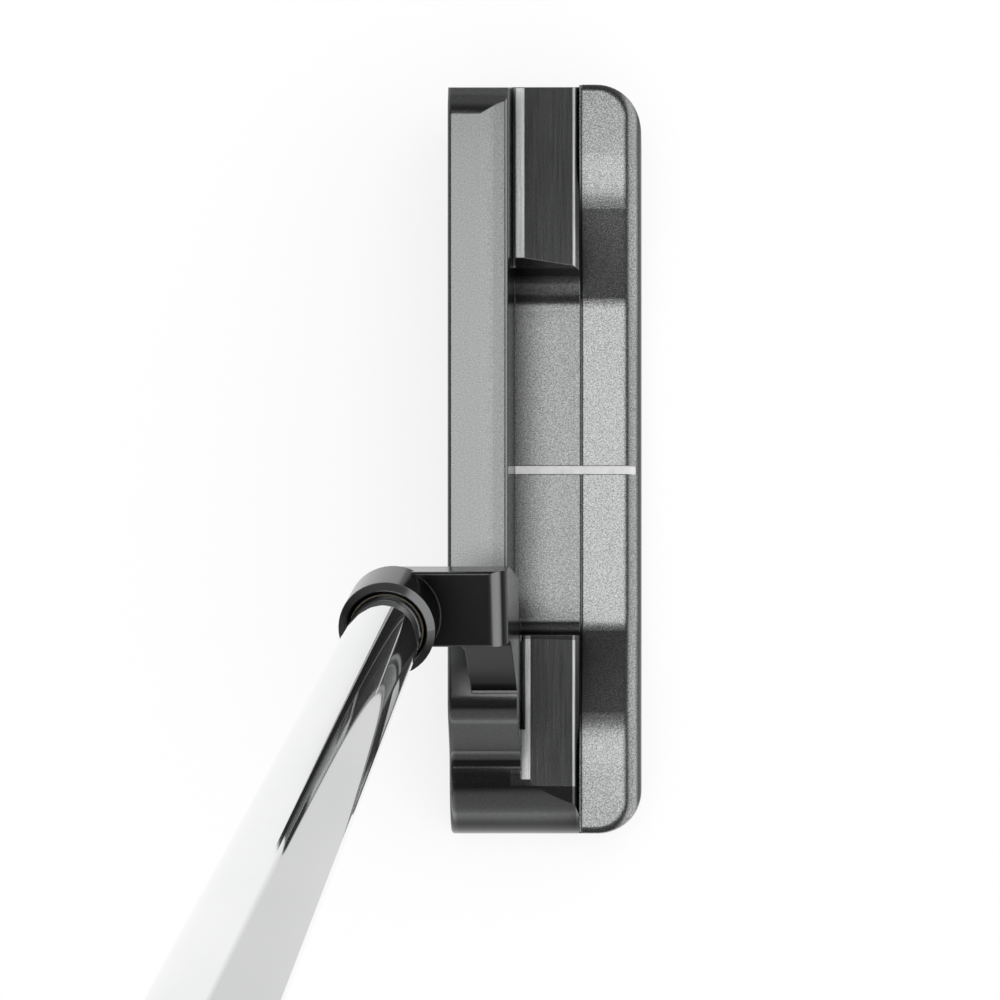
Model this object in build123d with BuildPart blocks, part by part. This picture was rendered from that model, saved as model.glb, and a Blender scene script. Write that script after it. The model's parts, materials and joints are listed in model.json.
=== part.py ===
from build123d import *
import os
from math import cos, radians, sin, tan

# Heel-toe weighted blade putter with a plumber's neck, right handed, standing at address.
# X runs from the striking face (low X) to the back, Y from heel (low Y) to toe, Z is up.
# The origin is on the ground at the middle of the flat sole, under the sight line.
# All lengths are in millimetres and all angles in degrees.

os.makedirs("parts", exist_ok=True)

# ---- Head: outside ----
lie = 70.0
face_loft = 3.5
face_x_mid = -11.5        # X of the face at half its height
toe_y = 59.4
heel_y = -57.6
rear_x = 18.4
rear_corner = 7.0
sole_flat = 22.0          # half length of the flat middle of the sole
sole_flat_back = 10.5     # X where the sole starts to rise to the back
sole_rise = 2.0           # slope of the sole towards heel and toe
rear_lift = 0.9

# ---- Head: topline, bumpers, cavity and flange ----
topline_z = 25.0
topline_back = -1.65
topline_fall = (3.2, 0.45)  # run and drop of the topline towards its back edge
topline_crown = 14.0
topline_back_edge = 0.6
topline_front_edge = 0.6
toe_knee_z = 11.8         # height where the toe starts to lean inwards
toe_shoulder = (55.4, 23.2)   # Y and Z where it turns over towards the topline
toe_top_y = 52.6
toe_round = 6.0
toe_foot_round = 8.5
heel_foot_round = 3.0
heel_top_round = 10.5
flange_heel_round = 8.0
shoulder_round = 5.0
shoulder_foot_round = 3.0
leading_edge = 1.5
trailing_edge = 2.5
shoulder_y = -39.6        # where the heel shoulder leaves the topline
shoulder_foot = (-45.8, 15.9)
heel_top_z = 15.4
heel_bar_back = -0.2      # back of the bar on the heel side of the neck
bar_step_y = (-19.0, -28.0)
deck_split = 8.7          # cavity and bumpers in front of it, flange behind it
split_width = 0.4
split_depth = 0.4
bumper_z = 15.6
toe_land = 0.24           # X where the toe bumper's level strip ends and its slope starts
heel_land = 1.17
bumper_slope = 13.5
bumper_back_edge = 0.7
bumper_back_draft = 0.75  # how far the bumpers' back walls lean in at the top
channel_width = 0.55      # slot between each bumper and the bar in front of it
channel_depth = 2.4
channel_end = -41.5       # Y where the heel slot runs out
cavity_z = 8.0
toe_wall = (31.6, 28.7)   # Y of the toe bumper's inner wall at its top and foot
heel_wall = (-26.9, -26.2)
toe_wall_foot_round = 5.0
heel_wall_foot_round = 3.0
flange_z = 13.1
flange_mid = 0.8
flange_crest = 43.4       # half spacing of the flange's crests
flange_foot = 25.0
crest_round = 30.0
foot_round = 10.0
flange_edge = 2.9
flange_overrun = 1.9      # how much of that rounding is cut off at the toe and heel ends

# ---- Neck ----
hosel_x = -16.05
rim_y = -30.43
rim_z = 57.5
hosel_radius = 6.6
rim_chamfer = 1.0
tube_length = 9.25        # rim down to the top of the arm
tube_end = 11.0           # rim down to the start of the tube's tapered foot
tube_foot = 17.0
tube_foot_radius = 4.2
arm_depth = 8.5
post_front = -7.04
post_back = -0.2
neck_elbow = 3.0
neck_crook = 1.0
neck_edge = 0.9
flare_round = 8.0
flare_z = 41.4            # where the heel side of the neck starts to widen
post_depth = 40.0         # rim down to the end of the post, inside the head
# Side outline of the neck as Y and Z, from its toe-side foot over the top to the heel side
neck_outline = (
    (-19.0, 22.0),
    (-19.0, 25.0),
    (-19.8, 43.5),
    (-21.6, 51.2),
    (-31.8, 47.5),
    (-29.6, flare_z),
    (-36.2, 25.4),
    (-39.5, 22.0),
)
neck_slot = (-36.6, -18.0)   # Y range left open for the neck above the topline
bore_radius = 5.05
bore_depth = 13.0
rim_countersink = 0.55

# ---- Face insert ----
insert_length = 82.0
insert_height = 17.6
insert_corner = 6.0
insert_depth = 4.0
insert_mid_y = 3.0
bond_gap = 0.1
groove_pitch = 1.3
groove_width = 0.5
groove_depth = 0.35
groove_count = 13
insert_fit = 0.05

# ---- Sight line ----
sight_width = 1.3
sight_depth = 0.4
sight_front = -1.6
paint_gap = 0.05
sight_bend = 45.0         # how far the line follows the flange's rounded back edge

# ---- Sole weights ----
weight_x = 3.7
weight_y = 41.0
weight_radius = 5.95
weight_bottom = 1.2
weight_height = 6.0
washer_thickness = 0.8
washer_hole = 3.0
pocket_clearance = 0.1
socket_radius = 2.9
socket_depth = 3.2
thread_pitch = 1.25
thread_depth = 0.4
thread_grooves = 4
weight_chamfer = 0.4
washer_inset = 0.3

# ---- Shaft and grip, measured along the shaft from the hosel rim ----
overall_length = 864.0
shaft_radius = 4.95
shaft_taper = 0.00325     # radius gained for each millimetre of length
shaft_wall = 0.5
shaft_gap = 0.2           # end of the shaft to the bottom of its bore
grip_length = 267.0
tape_thickness = 0.15
sleeve_thickness = 1.6
fit_gap = 0.02
cap_thickness = 3.5
cap_radius = 10.4
cap_sleeve_length = 14.0
plug_thread_radius = 5.0
plug_length = 12.0
plug_head_radius = 7.5
plug_head_thickness = 1.4
plug_recess = 2.5
seal_thickness = 0.9
seal_radius = 6.2
plug_grooves = 7
cap_edge = 1.2
tip_plug_length = 9.0
# Share of the grip's length from its lower end, then width and depth of the section
grip_stations = (
    (0.0, 20.5, 20.5),
    (0.18, 22.0, 22.5),
    (0.45, 23.5, 25.5),
    (0.7, 24.5, 28.5),
    (0.88, 26.0, 31.5),
    (1.0, 25.0, 30.5),
)
flat_offset = -0.06       # share of the depth the section hangs below the shaft axis
flat_corner = 0.22
back_corner = 0.44

lean = radians(90.0 - lie)
axis_up = (0, -sin(lean), cos(lean))
rim_centre = (hosel_x, rim_y, rim_z)
shaft_axis = Axis(rim_centre, axis_up)
# Local x is X and local y runs up the shaft.
shaft_side = Plane(origin=rim_centre, x_dir=(1, 0, 0), z_dir=(0, -cos(lean), -sin(lean)))
# Local x is X and local y points away from the player, square to the shaft.
shaft_cross = Plane(origin=rim_centre, x_dir=(1, 0, 0), z_dir=axis_up)
face_mid_z = topline_z / 2
face_plane = Plane(
    origin=(face_x_mid, 0, face_mid_z),
    x_dir=(0, -1, 0),
    z_dir=(-cos(radians(face_loft)), 0, sin(radians(face_loft))),
)
sole_plane = Plane.XY
block_reach = 30.0        # half width, in X, of the block everything is cut from
grip_end = overall_length - rim_z / cos(lean)
shaft_end = grip_end - cap_thickness
grip_start = grip_end - grip_length
weight_top = weight_bottom + weight_height
pocket_top = weight_top + washer_thickness


def face_x(z):
    """X of the lofted face plane at height z."""
    return face_x_mid + (z - face_mid_z) * tan(radians(face_loft))


def sole_z(y):
    """Height of the sole at a distance y from its middle."""
    return max(0.0, abs(y) - sole_flat) * tan(radians(sole_rise))


def round_ends(outline, heel_radius):
    """Round the lower toe and heel corners of an elevation."""
    toe_foot = outline.vertices().group_by(Axis.X)[-1].sort_by(Axis.Y)[0]
    fillet(toe_foot, radius=toe_foot_round)
    heel_foot = outline.vertices().group_by(Axis.X)[0].sort_by(Axis.Y)[0]
    fillet(heel_foot, radius=heel_radius)


def deck_sketch(crest_z, foot_z, overrun=0.0):
    """Elevation of the flange: two crests and the low floor between them."""
    toe_end = toe_y + overrun
    heel_end = heel_y - overrun
    with BuildSketch(Plane.YZ) as sketch:
        with BuildLine():
            Polyline(
                (heel_end, sole_z(heel_end)),
                (-sole_flat, 0),
                (sole_flat, 0),
                (toe_end, sole_z(toe_end)),
                (toe_end, crest_z),
                (flange_mid + flange_crest, crest_z),
                (flange_mid + flange_foot, foot_z),
                (flange_mid - flange_foot, foot_z),
                (flange_mid - flange_crest, crest_z),
                (heel_end, crest_z),
                close=True,
            )
        make_face()
        crests = sketch.vertices().filter_by(
            lambda v: abs(abs(v.X - flange_mid) - flange_crest) < 0.01
        )
        fillet(crests, radius=crest_round)
        feet = sketch.vertices().filter_by(lambda v: abs(v.Y - foot_z) < 0.01)
        fillet(feet, radius=foot_round)
        round_ends(sketch, flange_heel_round)
    return sketch.sketch_local


# ---- Head body, milled from one block with its neck ----
with BuildPart() as head_body:
    # Topline bar, toe side of the neck, with its soft back edge
    with BuildSketch(Plane.XZ.offset(-toe_y)):
        with BuildLine():
            Polyline(
                (face_x(0) - 1, 0),
                (topline_back, 0),
                (topline_back, topline_z - topline_fall[1]),
                (topline_back - topline_fall[0], topline_z),
                (face_x(0) - 1, topline_z),
                close=True,
            )
        make_face()
        fillet(vertices().group_by(Axis.Y)[-1].sort_by(Axis.X)[-1], radius=topline_crown)
        back_corner_point = vertices().filter_by(
            lambda v: abs(v.Y - topline_z + topline_fall[1]) < 0.01
        )
        fillet(back_corner_point, radius=topline_back_edge)
    extrude(amount=toe_y - bar_step_y[0] + 1)

    # Heel bar, a little deeper, under and beside the neck
    with BuildSketch(Plane.XY):
        with BuildLine():
            Polyline(
                (face_x(0) - 1, bar_step_y[0]),
                (topline_back, bar_step_y[0]),
                (heel_bar_back, bar_step_y[1]),
                (heel_bar_back, heel_y),
                (face_x(0) - 1, heel_y),
                close=True,
            )
        make_face()
    extrude(amount=topline_z)

    # Cavity floor with a raised bumper at each end
    with BuildSketch(Plane.YZ.offset(topline_back)) as cavity:
        with BuildLine():
            Polyline(
                (heel_y, 0),
                (toe_y, 0),
                (toe_y, bumper_z),
                (toe_wall[0], bumper_z),
                (toe_wall[1], cavity_z),
                (heel_wall[1], cavity_z),
                (heel_wall[0], bumper_z),
                (heel_y, bumper_z),
                close=True,
            )
        make_face()
        toe_foot = cavity.vertices().filter_by(lambda v: abs(v.X - toe_wall[1]) < 0.01)
        fillet(toe_foot, radius=toe_wall_foot_round)
        heel_foot = cavity.vertices().filter_by(lambda v: abs(v.X - heel_wall[1]) < 0.01)
        fillet(heel_foot, radius=heel_wall_foot_round)
    extrude(amount=deck_split - topline_back)

    # Bumper tops fall away to the back, and a slot parts each from the bar
    for land, start, reach in ((toe_land, toe_y, toe_y), (heel_land, 0, -heel_y)):
        bumper_back = deck_split - bumper_back_draft
        bumper_low = bumper_z - (bumper_back - land) * tan(radians(bumper_slope))
        with BuildSketch(Plane.XZ.offset(-start)) as slope:
            with BuildLine():
                Polyline(
                    (land, bumper_z),
                    (bumper_back, bumper_low),
                    (deck_split, flange_z - split_depth),
                    (deck_split + 1, flange_z - split_depth),
                    (deck_split + 1, topline_z),
                    (land, topline_z),
                    close=True,
                )
            make_face()
            corner = slope.vertices().filter_by(lambda v: abs(v.Y - bumper_low) < 0.01)
            fillet(corner, radius=bumper_back_edge)
        extrude(amount=reach, mode=Mode.SUBTRACT)
    with BuildSketch(Plane.XY.offset(bumper_z - channel_depth)):
        with BuildLine():
            Polyline(
                (topline_back, 0),
                (topline_back + channel_width, 0),
                (topline_back + channel_width, toe_y),
                (topline_back, toe_y),
                close=True,
            )
        make_face()
        with BuildLine():
            Polyline(
                (heel_bar_back, bar_step_y[1]),
                (heel_bar_back + channel_width, bar_step_y[0]),
                (heel_bar_back + channel_width, channel_end),
                (heel_bar_back, channel_end),
                close=True,
            )
        make_face()
    extrude(amount=channel_depth, mode=Mode.SUBTRACT)

    # Neck: an L of arm and post, cut to its side elevation
    with BuildPart(mode=Mode.PRIVATE) as neck:
        with BuildSketch(shaft_side) as elbow:
            with BuildLine():
                Polyline(
                    (0, -tube_length),
                    (post_back - hosel_x, -tube_length),
                    (post_back - hosel_x, -post_depth),
                    (post_front - hosel_x, -post_depth),
                    (post_front - hosel_x, -tube_length - arm_depth),
                    (0, -tube_length - arm_depth),
                    close=True,
                )
            make_face()
            arm_end = elbow.vertices().group_by(Axis.Y)[-1].sort_by(Axis.X)[-1]
            fillet(arm_end, radius=neck_elbow)
            crook = elbow.vertices().filter_by(
                lambda v: abs(v.X - post_front + hosel_x) < 0.01 and v.Y > -30
            )
            fillet(crook, radius=neck_crook)
        extrude(amount=block_reach, both=True)
        with BuildSketch(Plane.YZ.offset(-block_reach)) as neck_side:
            with BuildLine():
                Polyline(*neck_outline, close=True)
            make_face()
            top_edges = neck_side.vertices().sort_by(Axis.Y)[-2:]
            fillet(top_edges, radius=neck_edge)
            flare = neck_side.vertices().filter_by(lambda v: abs(v.Y - flare_z) < 0.01)
            fillet(flare, radius=flare_round)
        extrude(amount=2 * block_reach, mode=Mode.INTERSECT)
    add(neck.part)

    # Front elevation trims the bars, bumpers and neck
    with BuildSketch(Plane.YZ.offset(-block_reach)) as elevation:
        with BuildLine():
            Polyline(
                (-sole_flat, 0),
                (sole_flat, 0),
                (toe_y, sole_z(toe_y)),
                (toe_y, toe_knee_z),
                toe_shoulder,
                (toe_top_y, topline_z),
                (neck_slot[1], topline_z),
                (neck_slot[1], rim_z),
                (neck_slot[0], rim_z),
                (neck_slot[0], topline_z),
                (shoulder_y, topline_z),
                shoulder_foot,
                (heel_y, heel_top_z),
                (heel_y, sole_z(heel_y)),
                close=True,
            )
        make_face()
        toe_top = elevation.vertices().filter_by(lambda v: abs(v.X - toe_top_y) < 0.01)
        fillet(toe_top, radius=toe_round)
        round_ends(elevation, heel_foot_round)
        heel_top = elevation.vertices().group_by(Axis.X)[0].sort_by(Axis.Y)[-1]
        fillet(heel_top, radius=heel_top_round)
        shoulder = elevation.vertices().filter_by(lambda v: abs(v.X - shoulder_y) < 0.01)
        fillet(shoulder, radius=shoulder_round)
        foot = elevation.vertices().filter_by(lambda v: abs(v.X - shoulder_foot[0]) < 0.01)
        fillet(foot, radius=shoulder_foot_round)
    extrude(amount=2 * block_reach, mode=Mode.INTERSECT)

    # Dividing groove, then the flange behind it with its rounded rim
    with BuildSketch(Plane.YZ.offset(deck_split)):
        add(deck_sketch(flange_z - split_depth, cavity_z - split_depth))
    extrude(amount=split_width)
    with BuildPart(mode=Mode.PRIVATE) as flange:
        with BuildSketch(Plane.YZ.offset(deck_split + split_width)):
            add(deck_sketch(flange_z, cavity_z, flange_overrun))
        extrude(amount=rear_x - deck_split - split_width)
        with BuildSketch(Plane.XY) as outer_plan:
            with Locations((0, (toe_y + heel_y) / 2)):
                Rectangle(2 * rear_x, toe_y - heel_y + 2 * flange_overrun)
            fillet(outer_plan.vertices().group_by(Axis.X)[-1], radius=rear_corner)
        extrude(amount=topline_z, mode=Mode.INTERSECT)
        back_edges = flange.edges().filter_by(
            lambda e: e.center().X > rear_x - 0.05 and e.center().Z > cavity_z - 0.1
        )
        fillet(back_edges.filter_by(Axis.Z, reverse=True), radius=flange_edge)
        with BuildSketch(Plane.XY) as plan:
            with Locations((0, (toe_y + heel_y) / 2)):
                Rectangle(2 * rear_x, toe_y - heel_y)
            fillet(plan.vertices().group_by(Axis.X)[-1], radius=rear_corner)
        extrude(amount=topline_z, mode=Mode.INTERSECT)
    add(flange.part)

    # Side section trims the face, sole and back
    with BuildSketch(Plane.XZ.offset(-toe_y - 1)) as section:
        with BuildLine():
            Polyline(
                (face_x(0), 0),
                (sole_flat_back, 0),
                (rear_x, rear_lift),
                (rear_x, rim_z),
                (hosel_x - hosel_radius, rim_z),
                (hosel_x - hosel_radius, topline_z + 1),
                (face_x(topline_z + 1), topline_z + 1),
                close=True,
            )
        make_face()
        lead = section.vertices().filter_by(
            lambda v: abs(v.X - face_x(0)) < 0.01 and abs(v.Y) < 0.01
        )
        fillet(lead, radius=leading_edge)
        trail = section.vertices().filter_by(lambda v: abs(v.Y - rear_lift) < 0.01)
        fillet(trail, radius=trailing_edge)
    extrude(amount=toe_y - heel_y + 2, mode=Mode.INTERSECT)

    # Soft front edge of the topline
    topline_lip = head_body.edges().filter_by(
        lambda e: abs(e.center().Z - topline_z) < 0.05
        and abs(e.center().X - face_x(topline_z)) < 0.05
        and e.center().Y > 0
    )
    fillet(topline_lip, radius=topline_front_edge)

    # Hosel tube and the bore for the shaft
    with BuildSketch(shaft_side):
        with BuildLine():
            Polyline(
                (0, 0),
                (hosel_radius - rim_chamfer, 0),
                (hosel_radius, -rim_chamfer),
                (hosel_radius, -tube_end),
                (tube_foot_radius, -tube_foot),
                (0, -tube_foot),
                close=True,
            )
        make_face()
    revolve(axis=shaft_axis)
    with BuildSketch(shaft_side):
        with BuildLine():
            Polyline(
                (0, 0.5),
                (bore_radius + rim_countersink + 0.5, 0.5),
                (bore_radius, -rim_countersink),
                (bore_radius, -bore_depth),
                (0, -bore_depth),
                close=True,
            )
        make_face()
    revolve(axis=shaft_axis, mode=Mode.SUBTRACT)

    # Recess for the face insert and the film that holds it
    with BuildSketch(face_plane):
        with Locations((-insert_mid_y, 0)):
            RectangleRounded(insert_length, insert_height, insert_corner)
    extrude(amount=-insert_depth - bond_gap, mode=Mode.SUBTRACT)

    # Pockets for the sole weights
    with BuildSketch(sole_plane):
        with Locations((weight_x, weight_y), (weight_x, -weight_y)):
            Circle(weight_radius + pocket_clearance)
    extrude(amount=pocket_top, mode=Mode.SUBTRACT)

    # Groove for the sight line, over the floor and down the rounded back edge
    with BuildSketch(Plane.XZ.offset(-sight_width / 2)):
        with BuildLine():
            Polyline(
                (sight_front, cavity_z + 1),
                (sight_front, cavity_z - sight_depth),
                (rear_x - flange_edge, cavity_z - sight_depth),
            )
            sight_arc = CenterArc(
                (rear_x - flange_edge, cavity_z - flange_edge),
                flange_edge - sight_depth,
                90,
                -sight_bend,
            )
            Polyline(sight_arc @ 1, (rear_x + 1, cavity_z + 1), (sight_front, cavity_z + 1))
        make_face()
    extrude(amount=sight_width, mode=Mode.SUBTRACT)

head_body.part.label = "head_body"
export_step(head_body.part, "parts/head_body.step")

# ---- Sight line: paint filled into its groove ----
with BuildPart() as sight_line:
    with BuildSketch(Plane.XZ.offset(-sight_width / 2)):
        with BuildLine():
            paint_top = cavity_z - paint_gap
            low = Polyline(
                (sight_front, paint_top),
                (sight_front, cavity_z - sight_depth),
                (rear_x - flange_edge, cavity_z - sight_depth),
            )
            under = CenterArc(
                (rear_x - flange_edge, cavity_z - flange_edge),
                flange_edge - sight_depth,
                90,
                -sight_bend,
            )
            over = CenterArc(
                (rear_x - flange_edge, cavity_z - flange_edge),
                flange_edge - paint_gap,
                90,
                -sight_bend,
            )
            Line(under @ 1, over @ 1)
            Line(over @ 0, (sight_front, paint_top))
        make_face()
    extrude(amount=sight_width)

sight_line.part.label = "sight_line"
export_step(sight_line.part, "parts/sight_line.step")

# ---- Face insert: a grooved plate set into the face ----
with BuildPart() as face_insert:
    with BuildSketch(face_plane):
        with Locations((-insert_mid_y, 0)):
            RectangleRounded(
                insert_length - 2 * insert_fit,
                insert_height - 2 * insert_fit,
                insert_corner,
            )
    extrude(amount=-insert_depth)
    with BuildSketch(face_plane):
        with Locations((-insert_mid_y, 0)):
            with GridLocations(0, groove_pitch, 1, groove_count):
                Rectangle(insert_length, groove_width)
    extrude(amount=-groove_depth, mode=Mode.SUBTRACT)

face_insert.part.label = "face_insert"
export_step(face_insert.part, "parts/face_insert.step")

# ---- Film of adhesive behind the insert ----
with BuildPart() as insert_bond:
    with BuildSketch(face_plane.offset(-insert_depth)):
        with Locations((-insert_mid_y, 0)):
            RectangleRounded(
                insert_length - 2 * insert_fit,
                insert_height - 2 * insert_fit,
                insert_corner,
            )
    extrude(amount=-bond_gap)

insert_bond.part.label = "insert_bond"
export_step(insert_bond.part, "parts/insert_bond.step")


def sole_weight(y):
    """A threaded plug with a hexagon socket in its underside, standing at the given Y."""
    with BuildPart() as plug:
        with BuildSketch(sole_plane.offset(weight_bottom)):
            with Locations((weight_x, y)):
                Circle(weight_radius)
        extrude(amount=weight_height)
        chamfer(plug.faces().sort_by(Axis.Z)[0].edges(), length=weight_chamfer)
        chamfer(plug.faces().sort_by(Axis.Z)[-1].edges(), length=weight_chamfer)
        with BuildSketch(sole_plane.offset(weight_bottom)):
            with Locations((weight_x, y)):
                RegularPolygon(radius=socket_radius, side_count=6)
        extrude(amount=socket_depth, mode=Mode.SUBTRACT)
        with BuildSketch(Plane(origin=(weight_x, y, 0), x_dir=(1, 0, 0), z_dir=(0, -1, 0))):
            with Locations((weight_radius, weight_bottom + weight_height / 2)):
                with GridLocations(0, thread_pitch, 1, thread_grooves):
                    Rectangle(2 * thread_depth, thread_pitch / 2, rotation=45)
        revolve(axis=Axis((weight_x, y, 0), (0, 0, 1)), mode=Mode.SUBTRACT)
    return plug.part


def weight_washer(y):
    """The thin seal ring between a sole weight and the bottom of its pocket."""
    with BuildPart() as ring:
        with BuildSketch(sole_plane.offset(weight_top)):
            with Locations((weight_x, y)):
                Circle(weight_radius - washer_inset)
                Circle(washer_hole, mode=Mode.SUBTRACT)
        extrude(amount=washer_thickness)
    return ring.part


toe_weight = sole_weight(weight_y)
toe_weight.label = "toe_weight"
export_step(toe_weight, "parts/toe_weight.step")

heel_weight = sole_weight(-weight_y)
heel_weight.label = "heel_weight"
export_step(heel_weight, "parts/heel_weight.step")

toe_weight_washer = weight_washer(weight_y)
toe_weight_washer.label = "toe_weight_washer"
export_step(toe_weight_washer, "parts/toe_weight_washer.step")

heel_weight_washer = weight_washer(-weight_y)
heel_weight_washer.label = "heel_weight_washer"
export_step(heel_weight_washer, "parts/heel_weight_washer.step")


def shaft_r(t):
    """Outside radius of the shaft at a distance t up from the hosel rim."""
    return shaft_radius + shaft_taper * max(0.0, t)


def sleeve(start, end, inside, outside):
    """A sleeve over the shaft, its skins at the given distances from the shaft's surface."""
    with BuildPart() as tube:
        with BuildSketch(shaft_side):
            with BuildLine():
                Polyline(
                    (shaft_r(start) + inside, start),
                    (shaft_r(start) + outside, start),
                    (shaft_r(end) + outside, end),
                    (shaft_r(end) + inside, end),
                    close=True,
                )
            make_face()
        revolve(axis=shaft_axis)
    return tube.part


# ---- Shaft: a steel tube, straight in the hosel and tapered above it ----
shaft_tip = shaft_gap - bore_depth
with BuildPart() as shaft:
    with BuildSketch(shaft_side):
        with BuildLine():
            Polyline(
                (shaft_r(0) - shaft_wall, shaft_tip),
                (shaft_r(0), shaft_tip),
                (shaft_r(0), 0),
                (shaft_r(shaft_end), shaft_end),
                (shaft_r(shaft_end) - shaft_wall, shaft_end),
                (shaft_r(0) - shaft_wall, 0),
                close=True,
            )
        make_face()
    revolve(axis=shaft_axis)

shaft.part.label = "shaft"
export_step(shaft.part, "parts/shaft.step")

# ---- Epoxy between the shaft and the hosel ----
hosel_bond = sleeve(
    shaft_tip, -rim_countersink, fit_gap / 2, bore_radius - shaft_radius - fit_gap / 2
)
hosel_bond.label = "hosel_bond"
export_step(hosel_bond, "parts/hosel_bond.step")

# ---- Plug that keeps epoxy out of the shaft ----
with BuildPart() as shaft_tip_plug:
    with BuildSketch(shaft_cross.offset(shaft_tip + 1)):
        Circle(shaft_radius - shaft_wall - fit_gap)
    extrude(amount=tip_plug_length)

shaft_tip_plug.part.label = "shaft_tip_plug"
export_step(shaft_tip_plug.part, "parts/shaft_tip_plug.step")

# ---- Grip tape and the rubber sleeve under the grip's skin ----
sleeve_end = shaft_end - fit_gap
grip_tape = sleeve(grip_start + 2, sleeve_end, fit_gap, tape_thickness)
grip_tape.label = "grip_tape"
export_step(grip_tape, "parts/grip_tape.step")

sleeve_skin = tape_thickness + fit_gap + sleeve_thickness
grip_sleeve = sleeve(grip_start + 1, sleeve_end, tape_thickness + fit_gap, sleeve_skin)
grip_sleeve.label = "grip_sleeve"
export_step(grip_sleeve, "parts/grip_sleeve.step")

# ---- Grip skin: flat thumb side, swelling into a pistol shape towards the top ----
with BuildPart() as grip_skin:
    for station, width, depth in grip_stations:
        with BuildSketch(shaft_cross.offset(grip_start + station * grip_length)) as ring:
            with Locations((0, flat_offset * depth)):
                Rectangle(width, depth)
            far = ring.vertices().group_by(Axis.Y)[-1]
            fillet(far, radius=flat_corner * width)
            near = ring.vertices().group_by(Axis.Y)[0]
            fillet(near, radius=back_corner * width)
    loft()
    with BuildSketch(shaft_side):
        with BuildLine():
            Polyline(
                (0, grip_start - 1),
                (shaft_r(grip_start) + sleeve_skin + fit_gap, grip_start - 1),
                (shaft_r(shaft_end) + sleeve_skin + fit_gap, shaft_end),
                (cap_radius + fit_gap, shaft_end),
                (cap_radius + fit_gap, grip_end + 1),
                (0, grip_end + 1),
                close=True,
            )
        make_face()
    revolve(axis=shaft_axis, mode=Mode.SUBTRACT)

grip_skin.part.label = "grip_skin"
export_step(grip_skin.part, "parts/grip_skin.step")

# ---- Grip cap: a disc on top of the shaft with a threaded sleeve down inside it ----
cap_sleeve_radius = shaft_r(shaft_end - cap_sleeve_length) - shaft_wall - fit_gap
with BuildPart() as grip_cap:
    with BuildSketch(shaft_cross.offset(shaft_end)):
        Circle(cap_radius)
    extrude(amount=cap_thickness)
    fillet(grip_cap.edges().sort_by(shaft_axis)[-1], radius=cap_edge)
    with BuildSketch(shaft_cross.offset(shaft_end)):
        Circle(cap_sleeve_radius)
    extrude(amount=-cap_sleeve_length)
    with BuildSketch(shaft_cross.offset(grip_end)):
        Circle(plug_head_radius + pocket_clearance)
    extrude(amount=-plug_recess, mode=Mode.SUBTRACT)
    with BuildSketch(shaft_cross.offset(grip_end)):
        Circle(plug_thread_radius)
    extrude(amount=-grip_length / 2, mode=Mode.SUBTRACT)

grip_cap.part.label = "grip_cap"
export_step(grip_cap.part, "parts/grip_cap.step")

# ---- Screw plug in the cap, and the seal ring under its head ----
plug_seat = grip_end - plug_recess
head_under = plug_seat + seal_thickness
with BuildPart() as butt_plug:
    with BuildSketch(shaft_cross.offset(head_under)):
        Circle(plug_head_radius)
    extrude(amount=plug_head_thickness)
    chamfer(butt_plug.edges().sort_by(shaft_axis)[-1], length=weight_chamfer)
    with BuildSketch(shaft_cross.offset(head_under)):
        Circle(plug_thread_radius - pocket_clearance / 2)
    extrude(amount=-plug_length)
    with BuildSketch(shaft_cross.offset(head_under + plug_head_thickness)):
        RegularPolygon(radius=socket_radius, side_count=6)
    extrude(amount=-socket_depth, mode=Mode.SUBTRACT)
    with BuildSketch(shaft_side):
        with Locations((plug_thread_radius, head_under - plug_length / 2 - 1)):
            with GridLocations(0, thread_pitch, 1, plug_grooves):
                Rectangle(2 * thread_depth, thread_pitch / 2, rotation=45)
    revolve(axis=shaft_axis, mode=Mode.SUBTRACT)

butt_plug.part.label = "butt_plug"
export_step(butt_plug.part, "parts/butt_plug.step")

with BuildPart() as butt_plug_seal:
    with BuildSketch(shaft_side):
        with Locations((seal_radius, plug_seat + seal_thickness / 2)):
            Circle(seal_thickness / 2 - fit_gap / 2)
    revolve(axis=shaft_axis)

butt_plug_seal.part.label = "butt_plug_seal"
export_step(butt_plug_seal.part, "parts/butt_plug_seal.step")
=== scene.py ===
import json
from math import cos, exp, pi, sin

import bpy
import numpy as np
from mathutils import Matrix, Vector
from mathutils.bvhtree import BVHTree

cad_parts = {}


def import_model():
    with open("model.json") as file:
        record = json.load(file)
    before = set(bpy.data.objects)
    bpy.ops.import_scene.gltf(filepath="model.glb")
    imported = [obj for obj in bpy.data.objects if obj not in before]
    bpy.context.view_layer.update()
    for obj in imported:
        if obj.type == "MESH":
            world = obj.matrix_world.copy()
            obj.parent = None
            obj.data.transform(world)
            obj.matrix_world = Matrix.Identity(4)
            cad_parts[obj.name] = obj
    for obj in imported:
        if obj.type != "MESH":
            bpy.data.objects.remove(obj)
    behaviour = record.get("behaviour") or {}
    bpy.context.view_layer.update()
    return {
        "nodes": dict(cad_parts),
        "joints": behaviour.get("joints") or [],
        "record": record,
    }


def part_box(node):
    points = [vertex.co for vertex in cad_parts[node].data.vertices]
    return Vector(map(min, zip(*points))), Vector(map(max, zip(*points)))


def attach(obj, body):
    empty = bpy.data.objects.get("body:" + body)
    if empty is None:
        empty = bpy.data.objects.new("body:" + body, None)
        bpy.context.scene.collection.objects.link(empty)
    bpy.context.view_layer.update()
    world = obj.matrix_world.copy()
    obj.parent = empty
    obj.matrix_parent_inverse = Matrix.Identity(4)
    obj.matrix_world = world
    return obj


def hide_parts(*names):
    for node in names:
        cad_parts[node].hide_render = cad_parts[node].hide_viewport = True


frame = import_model()
nodes = frame["nodes"]

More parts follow.
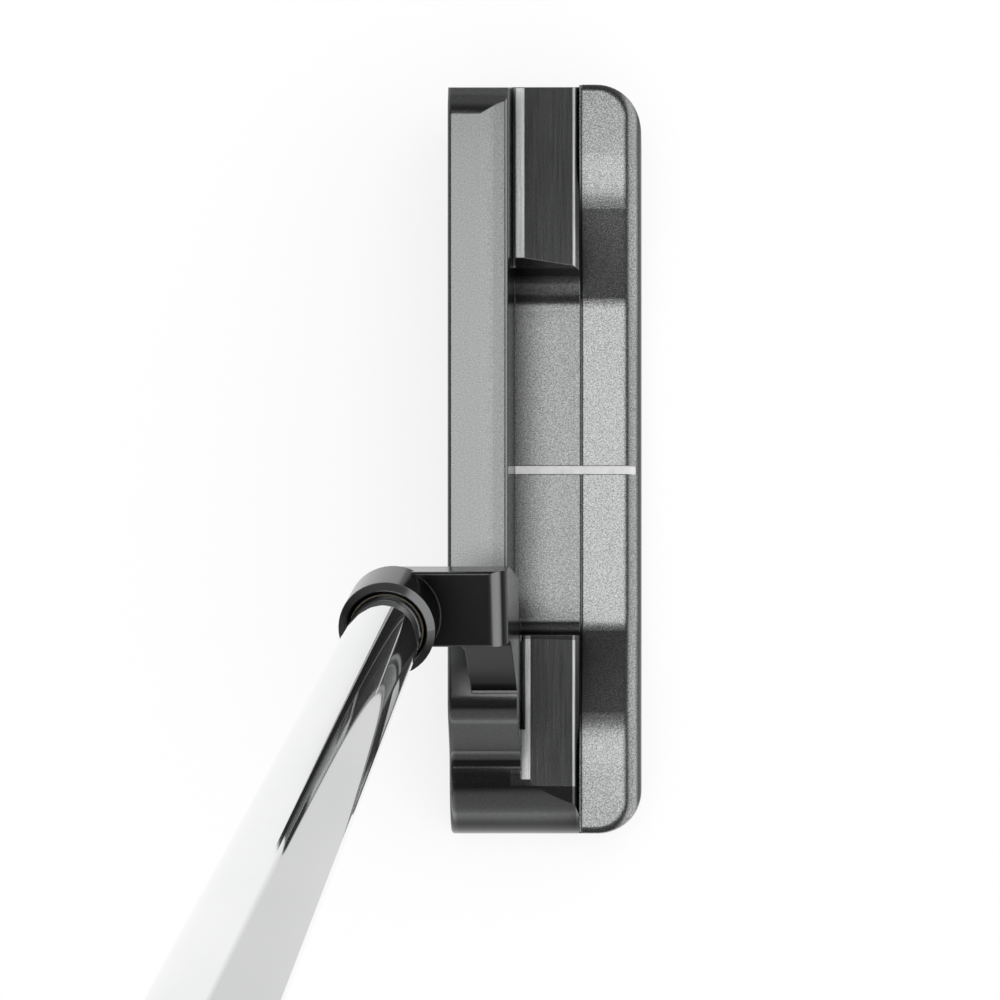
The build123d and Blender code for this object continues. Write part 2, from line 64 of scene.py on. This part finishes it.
# ---- Places, all worked out from the frame ----
joints = {j["name"]: j for j in frame["joints"]}
mounts = {m["name"]: m for m in frame["record"]["mounts"]}
grip_axis = Vector(mounts["hand_grip"]["axis"]).normalized()
grip_middle = Vector(mounts["hand_grip"]["pos_m"])
grip_end = Vector(joints["plug_turn"]["pos_m"])
grip_length = 2 * (grip_end - grip_middle).length
grip_start = grip_end - grip_axis * grip_length
across = Vector((1, 0, 0))
away = grip_axis.cross(across)          # from the player, square to the shaft


# ---- Shader helpers ----
class Nodes:
    """A short way to write a node tree."""

    def __init__(self, tree):
        self.tree = tree

    def add(self, kind, **values):
        node = self.tree.nodes.new(kind)
        for key, value in values.items():
            if hasattr(node, key):
                setattr(node, key, value)
            else:
                self.put(node, key.replace("_", " "), value)
        return node

    def put(self, node, name, value):
        """Sets or links one input, found by its name in any case."""
        socket = next(s for s in node.inputs if s.name.lower() == name.lower() and s.enabled)
        if isinstance(value, bpy.types.NodeSocket):
            self.tree.links.new(value, socket)
        else:
            socket.default_value = value

    def maths(self, operation, a, b=0.0, c=0.0, clamp=False):
        node = self.tree.nodes.new("ShaderNodeMath")
        node.operation = operation
        node.use_clamp = clamp
        for socket, value in zip(node.inputs, (a, b, c)):
            if isinstance(value, bpy.types.NodeSocket):
                self.tree.links.new(value, socket)
            else:
                socket.default_value = value
        return node.outputs[0]

    def times(self, first, *rest):
        """The product of all the values given."""
        for value in rest:
            first = self.maths("MULTIPLY", first, value)
        return first

    def gain(self, mask, amount):
        """1 where the mask is 0, and 1 + amount where it is 1."""
        return self.maths("MULTIPLY_ADD", mask, amount, 1.0)

    def grey(self, value, tint=(1.0, 1.0, 1.0)):
        """A colour of the given brightness, tinted a little."""
        colour = self.add("ShaderNodeCombineColor")
        for channel, share in zip(("Red", "Green", "Blue"), tint):
            self.put(colour, channel, self.maths("MULTIPLY", value, share, clamp=True))
        return colour.outputs[0]

    def ramp(self, factor, stops):
        node = self.tree.nodes.new("ShaderNodeValToRGB")
        self.tree.links.new(factor, node.inputs[0])
        while len(node.color_ramp.elements) < len(stops):
            node.color_ramp.elements.new(0.5)
        for element, (place, value) in zip(node.color_ramp.elements, stops):
            element.position = place
            colour = value if isinstance(value, tuple) else (value, value, value)
            element.color = (*colour, 1)
        return node.outputs[0]

    def noise(self, scale, detail=2.0, stretch=(1, 1, 1), rough=0.5):
        """Noise in object space; stretch divides the grain's size along each axis."""
        place = self.add("ShaderNodeTexCoord").outputs["Object"]
        mapping = self.add("ShaderNodeMapping")
        mapping.inputs["Scale"].default_value = stretch
        self.tree.links.new(place, mapping.inputs["Vector"])
        texture = self.add("ShaderNodeTexNoise", Scale=scale, Detail=detail, Roughness=rough)
        self.tree.links.new(mapping.outputs[0], texture.inputs["Vector"])
        return texture.outputs["Fac"]

    def mix(self, factor, a, b):
        node = self.tree.nodes.new("ShaderNodeMix")
        node.data_type = "RGBA"
        for socket, value in zip((node.inputs[0], node.inputs[6], node.inputs[7]), (factor, a, b)):
            if isinstance(value, bpy.types.NodeSocket):
                self.tree.links.new(value, socket)
            elif isinstance(value, tuple):
                socket.default_value = (*value, 1)
            else:
                socket.default_value = value
        return node.outputs[2]


def material(name):
    """An empty material with a Principled shader: returns it, its nodes and the shader."""
    made = bpy.data.materials.new(name)
    made.use_nodes = True
    tree = made.node_tree
    tree.nodes.clear()
    n = Nodes(tree)
    shader = n.add("ShaderNodeBsdfPrincipled")
    out = n.add("ShaderNodeOutputMaterial")
    tree.links.new(shader.outputs[0], out.inputs["Surface"])
    return made, n, shader


def relief(n, shader, height, distance, strength=1.0, edge=0.0):
    """Bumps the shader with a height, over edges softened by a bevel of the given radius."""
    bump = n.add("ShaderNodeBump", Strength=strength, Distance=distance, Height=height)
    if edge:
        bevel = n.add("ShaderNodeBevel", Radius=edge)
        bevel.samples = 6
        n.put(bump, "Normal", bevel.outputs[0])
    n.put(shader, "Normal", bump.outputs[0])


def ramp_step(n, value, start, end):
    """A smooth step from 0 at start to 1 at end."""
    node = n.tree.nodes.new("ShaderNodeMapRange")
    node.interpolation_type = "SMOOTHSTEP"
    n.tree.links.new(value, node.inputs["Value"])
    node.inputs["From Min"].default_value = start
    node.inputs["From Max"].default_value = end
    return node.outputs[0]


# ---- Materials ----
# Where the head's finish and its painted light and shade change, in metres in the frame
bar_back_x = -0.0019
bumper_back_x = 0.0082
flange_front_x = 0.0087
bumper_inner_y = 0.0275
bumper_z = (0.0131, 0.0158)
deck_z = 0.0137
neck_z = 0.0257
sole_z = (0.003, 0.0045)
heel_y = (-0.034, -0.04)
heel_front_x = (-0.0112, -0.0102)
heel_back_x = (0.002, 0.0)
heel_end_y = -0.0503

speck_scale = 4600.0
streak_scale = 2600.0
cloud_scale = 55.0
# Reach of the painted shade in corners
corner_shade_reach = 0.006
edge_radius = 0.00025


def gunmetal(name, tone=0.385):
    """Dark plated steel: blasted on the low surfaces, drawn on the bumpers, satin on the neck,
    with painted light and shade by region, in corners and on steep faces.
    """
    made, n, shader = material(name)
    place = n.add("ShaderNodeTexCoord").outputs["Object"]
    x, y, z = n.add("ShaderNodeSeparateXYZ", Vector=place).outputs

    # Regions of the head, each 0 outside and 1 inside
    above_sole = ramp_step(n, z, *sole_z)
    behind_bar = n.maths("GREATER_THAN", x, bar_back_x)
    before_flange = n.maths("LESS_THAN", x, bumper_back_x)
    heel_end = n.times(n.maths("LESS_THAN", y, heel_end_y), before_flange)
    inside = n.times(behind_bar, n.gain(heel_end, -1.0), above_sole)
    low = n.times(n.maths("LESS_THAN", z, deck_z), inside)
    flange = n.times(low, n.maths("GREATER_THAN", x, flange_front_x))
    bumper = n.times(
        n.maths("GREATER_THAN", n.maths("ABSOLUTE", y), bumper_inner_y),
        before_flange,
        n.maths("GREATER_THAN", z, bumper_z[0]),
        n.maths("LESS_THAN", z, bumper_z[1]),
        inside,
    )
    neck = n.maths("GREATER_THAN", z, neck_z)
    # The heel, where painted shade darkens the head
    heel = n.times(
        ramp_step(n, y, *heel_y), ramp_step(n, x, *heel_back_x), ramp_step(n, x, *heel_front_x)
    )
    heel = n.maths("MAXIMUM", heel, n.times(heel_end, behind_bar))
    heel = n.times(heel, above_sole)

    # Grain: specks where it is blasted, streaks where it is drawn
    blasted = n.maths("MULTIPLY_ADD", low, 0.6, 0.4)
    blasted = n.times(blasted, n.gain(neck, -0.85), n.gain(bumper, -0.6))
    speck = n.maths("SUBTRACT", n.noise(speck_scale, 2.0, rough=0.7), 0.5)
    drawn = n.noise(streak_scale, 2.0, stretch=(1.0, 0.03, 1.0), rough=0.7)
    streak = n.maths("SUBTRACT", drawn, 0.5)
    cloud = n.noise(cloud_scale, 3.0)
    grain = n.times(speck, blasted, 2.6)
    grain = n.maths("MULTIPLY_ADD", streak, n.maths("MULTIPLY_ADD", bumper, 0.9, 0.08), grain)
    shade = n.maths("MULTIPLY_ADD", grain, tone, tone)
    shade = n.times(shade, n.maths("MULTIPLY_ADD", cloud, 0.06, 0.97))
    # Painted shade on the neck and the heel, painted light on the bumpers and the flange
    for region, amount in ((neck, -0.15), (bumper, 1.2), (heel, -0.5), (flange, 0.3)):
        shade = n.times(shade, n.gain(region, amount))

    # Painted shade: darker in its corners, and on steep faces seen from straight above
    corner = n.add("ShaderNodeAmbientOcclusion", Distance=corner_shade_reach)
    corner.samples = 6
    corner.only_local = True
    shade = n.times(shade, n.maths("POWER", corner.outputs["AO"], 1.6))
    facing = n.add("ShaderNodeLayerWeight", Blend=0.5).outputs["Facing"]
    steep = n.times(ramp_step(n, facing, 0.2, 0.5), 0.8)
    steep_neck = n.times(ramp_step(n, facing, 0.15, 0.35), neck, 0.94)
    incoming = n.add("ShaderNodeNewGeometry").outputs["Incoming"]
    from_above = n.add("ShaderNodeSeparateXYZ", Vector=incoming).outputs["Z"]
    steep = n.times(n.maths("MAXIMUM", steep, steep_neck), ramp_step(n, from_above, 0.75, 0.95))
    shade = n.times(shade, n.gain(steep, -1.0))

    n.put(shader, "Base Color", n.grey(shade, (0.985, 0.995, 1.0)))
    n.put(shader, "Metallic", 1.0)
    rough = n.maths("MULTIPLY_ADD", cloud, 0.05, 0.15)
    n.put(shader, "Roughness", n.maths("MULTIPLY_ADD", blasted, 0.05, rough))
    relief(n, shader, grain, 0.00002, 0.2, edge=edge_radius)
    return made


def insert_metal(name):
    """Milled aluminium with fine tool lines."""
    made, n, shader = material(name)
    lines = n.noise(900.0, 2.0, stretch=(1.0, 0.05, 6.0))
    n.put(shader, "Base Color", n.ramp(lines, [(0.3, 0.30), (0.7, 0.42)]))
    n.put(shader, "Metallic", 1.0)
    n.put(shader, "Roughness", n.ramp(lines, [(0.3, 0.28), (0.7, 0.42)]))
    relief(n, shader, lines, 0.00002, 0.5, edge=0.00012)
    return made


def turned_steel(name, centre, axis, tone=0.45, rough=0.28):
    """Turned metal with rings round the given centre and axis."""
    made, n, shader = material(name)
    place = n.add("ShaderNodeTexCoord").outputs["Object"]
    offset = n.add("ShaderNodeVectorMath", operation="SUBTRACT")
    n.tree.links.new(place, offset.inputs[0])
    offset.inputs[1].default_value = centre
    square = n.add("ShaderNodeVectorMath", operation="CROSS_PRODUCT")
    n.tree.links.new(offset.outputs[0], square.inputs[0])
    square.inputs[1].default_value = axis
    length = n.add("ShaderNodeVectorMath", operation="LENGTH")
    n.tree.links.new(square.outputs[0], length.inputs[0])
    rings = n.add("ShaderNodeTexNoise", Scale=3000.0, Detail=2.0)
    rings.noise_dimensions = "1D"
    n.tree.links.new(length.outputs["Value"], rings.inputs["W"])
    shade = n.ramp(rings.outputs["Fac"], [(0.3, tone * 0.85), (0.7, tone * 1.1)])
    n.put(shader, "Base Color", shade)
    n.put(shader, "Metallic", 1.0)
    n.put(shader, "Roughness", rough)
    relief(n, shader, rings.outputs["Fac"], 0.00003, 0.6, edge=0.0002)
    return made


def chrome(name):
    """Bright plating with the faintest drawing lines and handling marks."""
    made, n, shader = material(name)
    smear = n.noise(35.0, 4.0, stretch=(3.0, 3.0, 0.6))
    shade = n.ramp(smear, [(0.35, (0.84, 0.845, 0.85)), (0.7, (0.88, 0.88, 0.885))])
    n.put(shader, "Base Color", shade)
    n.put(shader, "Metallic", 1.0)
    n.put(shader, "Roughness", n.ramp(smear, [(0.4, 0.02), (0.75, 0.05)]))
    return made


def rubber(name, tone=0.03, rough=0.7, grain=2600.0, depth=0.00005):
    """Moulded dark rubber or nylon with a fine matt grain, with painted shade in its grooves."""
    made, n, shader = material(name)
    fine = n.noise(grain, 3.0)
    patch = n.noise(45.0, 3.0)
    groove = n.add("ShaderNodeAttribute", attribute_name="groove").outputs["Fac"]
    shade = n.maths("MULTIPLY_ADD", patch, tone * 0.9, tone * 0.55)
    # Painted shade: darker in the grooves
    n.put(shader, "Base Color", n.grey(n.times(shade, n.gain(groove, -0.75))))
    n.put(shader, "Roughness", n.maths("MULTIPLY_ADD", patch, 0.15, rough - 0.08))
    n.put(shader, "Specular IOR Level", 0.4)
    relief(n, shader, fine, depth, 0.5, edge=0.0002)
    return made


def paint(name):
    """Pale enamel, slightly uneven where it was wiped level."""
    made, n, shader = material(name)
    patch = n.noise(900.0, 3.0)
    n.put(shader, "Base Color", n.ramp(patch, [(0.3, 0.66), (0.7, 0.76)]))
    n.put(shader, "Roughness", 0.38)
    relief(n, shader, patch, 0.00003, 0.4)
    return made


def plain(name, colour, rough=0.6):
    """Hidden soft pieces: tape, glue, nylon."""
    made, n, shader = material(name)
    patch = n.noise(700.0, 3.0)
    low = tuple(c * 0.88 for c in colour)
    n.put(shader, "Base Color", n.mix(patch, low, colour))
    n.put(shader, "Roughness", rough)
    relief(n, shader, patch, 0.00004, 0.5)
    return made


def dress(node, made):
    """Puts one material on a CAD node."""
    slots = nodes[node].data.materials
    slots.clear()
    slots.append(made)
    for polygon in nodes[node].data.polygons:
        polygon.material_index = 0


dress("head_body", gunmetal("gunmetal"))
dress("face_insert", insert_metal("insert_metal"))
dress("sight_line", paint("sight_paint"))
dress("shaft", chrome("chrome"))
for side in ("toe", "heel"):
    centre = Vector(joints[f"{side}_weight_turn"]["pos_m"])
    dress(f"{side}_weight", turned_steel(f"{side}_steel", centre, (0, 0, 1)))
    dress(f"{side}_weight_washer", plain(f"{side}_nylon", (0.72, 0.71, 0.66)))
dress("grip_cap", rubber("cap_nylon", 0.035, 0.5))
dress("grip_sleeve", rubber("sleeve_rubber", 0.05, 0.8))
dress("butt_plug", turned_steel("plug_metal", grip_end, grip_axis, 0.22, 0.35))
dress("butt_plug_seal", rubber("seal_rubber", 0.02, 0.5))
dress("insert_bond", plain("bond_film", (0.5, 0.44, 0.28), 0.4))
dress("hosel_bond", plain("epoxy", (0.16, 0.14, 0.1), 0.35))
dress("shaft_tip_plug", plain("tip_plug", (0.5, 0.38, 0.24), 0.9))
dress("grip_tape", plain("paper_tape", (0.7, 0.67, 0.58), 0.9))


# ---- Grip skin, over the space its CAD solid holds ----
ring_count = 480
side_count = 180
plain_foot = 0.007          # smooth band at the grip's mouth
plain_top = 0.012
fade_length = 0.002         # over which the pattern starts and ends
groove_depth = 0.0005
diamond_pitch = 0.0065
line_width = 0.07           # share of the pitch
rib_pitch = 0.004
rib_share = 0.55            # depth of a rib, as a share of a groove's
flat_half = 0.62            # half width of the thumb panel, in radians round the grip
panel_edge = 0.08
mouth_share = 0.82          # of the inner sleeve's width, the grip's open lower end
mouth_depth = 0.004
cap_depth = 0.0035


def grip_surface():
    """Distance from the shaft axis to the outside of the CAD grip, by ring and by angle."""
    mesh = nodes["grip_skin"].data
    points = [v.co.copy() for v in mesh.vertices]
    faces = [tuple(p.vertices) for p in mesh.polygons]
    tree = BVHTree.FromPolygons(points, faces)
    reach = 0.05
    inset = 0.0004
    table = np.zeros((ring_count, side_count))
    for i in range(ring_count):
        share = i / (ring_count - 1)
        along = inset + share * (grip_length - 2 * inset)
        centre = grip_start + grip_axis * along
        for k in range(side_count):
            angle = 2 * pi * k / side_count
            ray = across * sin(angle) + away * cos(angle)
            hit = tree.ray_cast(centre + ray * reach, -ray, reach)
            table[i, k] = (hit[0] - centre).length if hit[0] else table[i - 1, k]
    return table


def pattern(along, angle, radius):
    """Depth of the moulded pattern at a place on the grip, from 0 to 1."""
    fade = min(1.0, max(0.0, (along - plain_foot) / fade_length))
    fade *= min(1.0, max(0.0, (grip_length - plain_top - along) / fade_length))
    turn = (angle + pi) % (2 * pi) - pi
    if abs(turn) < flat_half:
        edge = min(1.0, (flat_half - abs(turn)) / panel_edge)
        rib = 0.5 - 0.5 * cos(2 * pi * along / rib_pitch)
        return fade * edge * rib_share * rib ** 2
    edge = min(1.0, (abs(turn) - flat_half) / panel_edge)
    arc = turn * radius
    a = abs(((arc + along) / diamond_pitch) % 1.0 - 0.5)
    b = abs(((arc - along) / diamond_pitch) % 1.0 - 0.5)
    line = max(exp(-((0.5 - a) / line_width) ** 2), exp(-((0.5 - b) / line_width) ** 2))
    return fade * edge * line


def build_grip():
    """The visible grip: CAD outline, pulled in by its moulded pattern."""
    table = grip_surface()
    mean = float(table.mean())
    verts = []
    grooves = []
    for i in range(ring_count):
        share = i / (ring_count - 1)
        along = share * grip_length
        centre = grip_start + grip_axis * along
        for k in range(side_count):
            angle = 2 * pi * k / side_count
            groove = pattern(along, angle, mean)
            grooves.append(groove)
            radius = table[i, k] - groove_depth * groove
            verts.append(centre + (across * sin(angle) + away * cos(angle)) * radius)
    faces = []
    for i in range(ring_count - 1):
        for k in range(side_count):
            after = (k + 1) % side_count
            a, b = i * side_count + k, i * side_count + after
            faces.append((a, b, b + side_count, a + side_count))
    # Ends: the mouth turns in to the sleeve, the top turns in to the cap
    mouth_hole = (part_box("grip_sleeve")[1].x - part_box("grip_sleeve")[0].x) / 2 * mouth_share
    cap_hole = (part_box("grip_cap")[1].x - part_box("grip_cap")[0].x) / 2
    for ring, hole, centre, flip in (
        (0, mouth_hole, grip_start, True),
        (ring_count - 1, cap_hole, grip_end, False),
    ):
        first = len(verts)
        deep = grip_axis * (mouth_depth if flip else -cap_depth)
        for drop in (Vector(), deep):
            for k in range(side_count):
                angle = 2 * pi * k / side_count
                verts.append(centre + drop + (across * sin(angle) + away * cos(angle)) * hole)
        outer = ring * side_count
        for low, high in ((outer, first), (first, first + side_count)):
            for k in range(side_count):
                after = (k + 1) % side_count
                quad = (low + k, low + after, high + after, high + k)
                faces.append(tuple(reversed(quad)) if flip else quad)
    mesh = bpy.data.meshes.new("grip_wrap")
    mesh.from_pydata(verts, [], faces)
    mesh.validate()
    mesh.polygons.foreach_set("use_smooth", [True] * len(mesh.polygons))
    piece = bpy.data.objects.new("grip_wrap", mesh)
    bpy.context.scene.collection.objects.link(piece)
    mark = mesh.attributes.new("groove", "FLOAT", "POINT")
    mark.data.foreach_set("value", grooves + [0.0] * (len(verts) - len(grooves)))
    mesh.materials.append(rubber("grip_rubber", 0.034, 0.5))
    return piece


grip_wrap = build_grip()
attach(grip_wrap, "putter")
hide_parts("grip_skin")


# ---- Floor and light ----
floor_size = 6.0
floor_drop = 0.0002
floor_glow = 0.75           # share of the floor's white that it gives out by itself
back_shade = 0.27           # how much darker reflections see it behind the head


def floor():
    mesh = bpy.data.meshes.new("floor")
    corners = [(-1, -1), (1, -1), (1, 1), (-1, 1)]
    corners = [(a * floor_size, b * floor_size, 0) for a, b in corners]
    mesh.from_pydata(corners, [], [(0, 1, 2, 3)])
    piece = bpy.data.objects.new("floor", mesh)
    bpy.context.scene.collection.objects.link(piece)
    made, n, shader = material("pale_floor")
    n.put(shader, "Roughness", 1.0)
    n.put(shader, "Specular IOR Level", 0.0)
    n.put(shader, "Emission Color", (1, 1, 1, 1))
    # Painted shade in reflections: the floor is a little darker behind the head than in front of
    # it
    place = n.add("ShaderNodeNewGeometry").outputs["Position"]
    x = n.add("ShaderNodeSeparateXYZ", Vector=place).outputs["X"]
    shaded = n.times(n.maths("MULTIPLY", x, 50.0, clamp=True), back_shade)
    mirrored = n.add("ShaderNodeLightPath").outputs["Is Glossy Ray"]
    light = n.gain(n.times(shaded, mirrored), -1.0)
    n.put(shader, "Base Color", n.grey(n.times(light, 1.0 - floor_glow)))
    n.put(shader, "Emission Strength", n.times(light, floor_glow))
    # Seen from below, the floor is clear, so that the sole can be looked at
    clear = n.add("ShaderNodeBsdfTransparent")
    choose = n.add("ShaderNodeMixShader")
    backfacing = n.add("ShaderNodeNewGeometry").outputs["Backfacing"]
    out = next(node for node in n.tree.nodes if node.bl_idname == "ShaderNodeOutputMaterial")
    n.tree.links.new(backfacing, choose.inputs[0])
    n.tree.links.new(shader.outputs[0], choose.inputs[1])
    n.tree.links.new(clear.outputs[0], choose.inputs[2])
    n.tree.links.new(choose.outputs[0], out.inputs["Surface"])
    mesh.materials.append(made)
    piece.location.z = -floor_drop


def area(name, place, aim, size, power):
    data = bpy.data.lights.new(name, "AREA")
    data.shape = "RECTANGLE"
    data.size, data.size_y = size
    data.energy = power
    lamp = bpy.data.objects.new(name, data)
    bpy.context.scene.collection.objects.link(lamp)
    lamp.location = place
    lamp.rotation_euler = (Vector(aim) - Vector(place)).to_track_quat("-Z", "Y").to_euler()
    lamp.visible_camera = False


side_glow = 0.55
behind_glow = 0.04
heel_glow = 0.17
key_way = (0.45, -0.35, 0.82)


def world():
    """Dim studio for reflections, with bright panels, and brighter light for matt pieces."""
    made = bpy.data.worlds.new("studio")
    bpy.context.scene.world = made
    made.use_nodes = True
    made.cycles.sampling_method = "NONE"
    tree = made.node_tree
    tree.nodes.clear()
    n = Nodes(tree)
    way = n.add("ShaderNodeTexCoord").outputs["Generated"]
    x, y, z = n.add("ShaderNodeSeparateXYZ", Vector=way).outputs
    # What polished pieces see: the horizon, a panel beside the head and two on the heel's side
    horizon = n.ramp(z, [(0.0, 0.75), (0.08, 0.3), (0.25, 0.16), (0.6, 0.13), (0.8, 0.015)])
    side = n.times(ramp_step(n, x, 0.42, 0.62), ramp_step(n, z, 0.86, 0.78), side_glow)
    behind = n.times(ramp_step(n, y, -0.22, -0.32), ramp_step(n, y, -0.6, -0.5), behind_glow)
    below = n.times(ramp_step(n, y, -0.62, -0.75), heel_glow)
    studio = n.maths("ADD", horizon, n.maths("ADD", side, n.maths("ADD", behind, below)))
    # What matt pieces see: soft light from one side
    key = n.add("ShaderNodeVectorMath", operation="DOT_PRODUCT")
    tree.links.new(way, key.inputs[0])
    key.inputs[1].default_value = key_way
    soft = n.maths("MULTIPLY_ADD", n.maths("MAXIMUM", key.outputs["Value"], 0.0), 1.25, 0.25)
    path = n.add("ShaderNodeLightPath")
    matt = n.mix(path.outputs["Is Diffuse Ray"], studio, soft)
    seen = n.mix(path.outputs["Is Camera Ray"], matt, (1.0, 1.0, 1.0))
    back = n.add("ShaderNodeBackground", Color=seen)
    out = n.add("ShaderNodeOutputWorld")
    tree.links.new(back.outputs[0], out.inputs["Surface"])


floor()
world()
area("overhead", (0.0, 0.195, 1.25), (0.0, 0.195, 0.0), (0.67, 0.68), 1.65)


# ---- Camera: straight down over the heel end, with the lens shifted to the head ----
camera_height = 0.3568
camera_x = 0.02056
camera_y = -0.05961
camera_lens = 79.2
lens_shift = (-0.155, 0.346)

camera_data = bpy.data.cameras.new("camera")
camera = bpy.data.objects.new("camera", camera_data)
bpy.context.scene.collection.objects.link(camera)
camera.location = (camera_x, camera_y, camera_height)
camera_data.lens = camera_lens
camera_data.sensor_width = 36.0
camera_data.clip_start = 0.01
bpy.context.scene.camera = camera


def shift_from_above(axis, amount):
    """Shifts the lens only while the camera stands at its own height over the head."""
    curve = camera_data.driver_add(axis)
    driver = curve.driver
    driver.type = "SCRIPTED"
    variable = driver.variables.new()
    variable.name = "height"
    variable.type = "SINGLE_PROP"
    variable.targets[0].id = camera
    variable.targets[0].data_path = "location[2]"
    driver.expression = f"{amount} if abs(height - {camera_height}) < 0.0001 else 0.0"


shift_from_above("shift_x", lens_shift[0])
shift_from_above("shift_y", lens_shift[1])
bpy.context.scene.view_settings.view_transform = "Standard"
